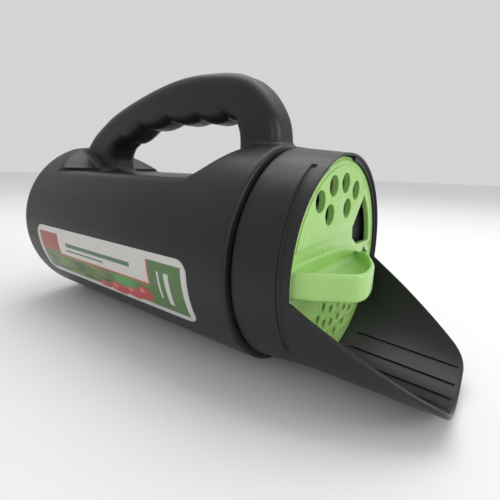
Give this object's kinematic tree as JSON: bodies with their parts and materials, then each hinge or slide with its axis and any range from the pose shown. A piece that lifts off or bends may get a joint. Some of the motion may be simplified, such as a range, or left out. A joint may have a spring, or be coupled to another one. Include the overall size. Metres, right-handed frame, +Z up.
{
  "type": "handheld salt spreader",
  "caption": "Handheld shaker bottle for spreading salt or grit, with a hollow handle, a screw cap with a pouring chute and a rotary metering dial.",
  "frame": {"origin": "middle of the underside of the bounding box, on the flat along the bottle's belly", "axes": "+X along the bottle towards the chute, +Z up towards the handle, label on the -Y side"},
  "size_m": [0.3026, 0.1226, 0.16],
  "materials": {
    "bottle_plastic": "satin blow-moulded black",
    "cap_plastic": "satin injection-moulded black",
    "dial_plastic": "glossy light green",
    "seal_rubber": "matte",
    "label_film": "printed film"
  },
  "bodies": {
    "bottle": {"container": "bottle_plastic", "side_label": "label_film"},
    "seal": {"sealing_ring": "seal_rubber"},
    "cap": {"cap": "cap_plastic"},
    "dial": {"metering_dial": "dial_plastic"}
  },
  "joints": [
    {"name": "cap_travel", "type": "slide", "parent": "bottle", "child": "seal", "axis": [1, 0, 0], "range_m": [0, 0.009]},
    {"name": "cap_turn", "type": "hinge", "parent": "seal", "child": "cap", "pos_m": [0.0629, 0, 0.06], "axis": [1, 0, 0], "range_deg": [0, 540]},
    {"name": "dial_turn", "type": "hinge", "parent": "cap", "child": "dial", "pos_m": [0.0865, 0, 0.06], "axis": [1, 0, 0], "continuous": true}
  ],
  "couplings": [
    {"joint": "cap_travel", "follows": "cap_turn", "m_per_rad": 0.00095493}
  ]
}
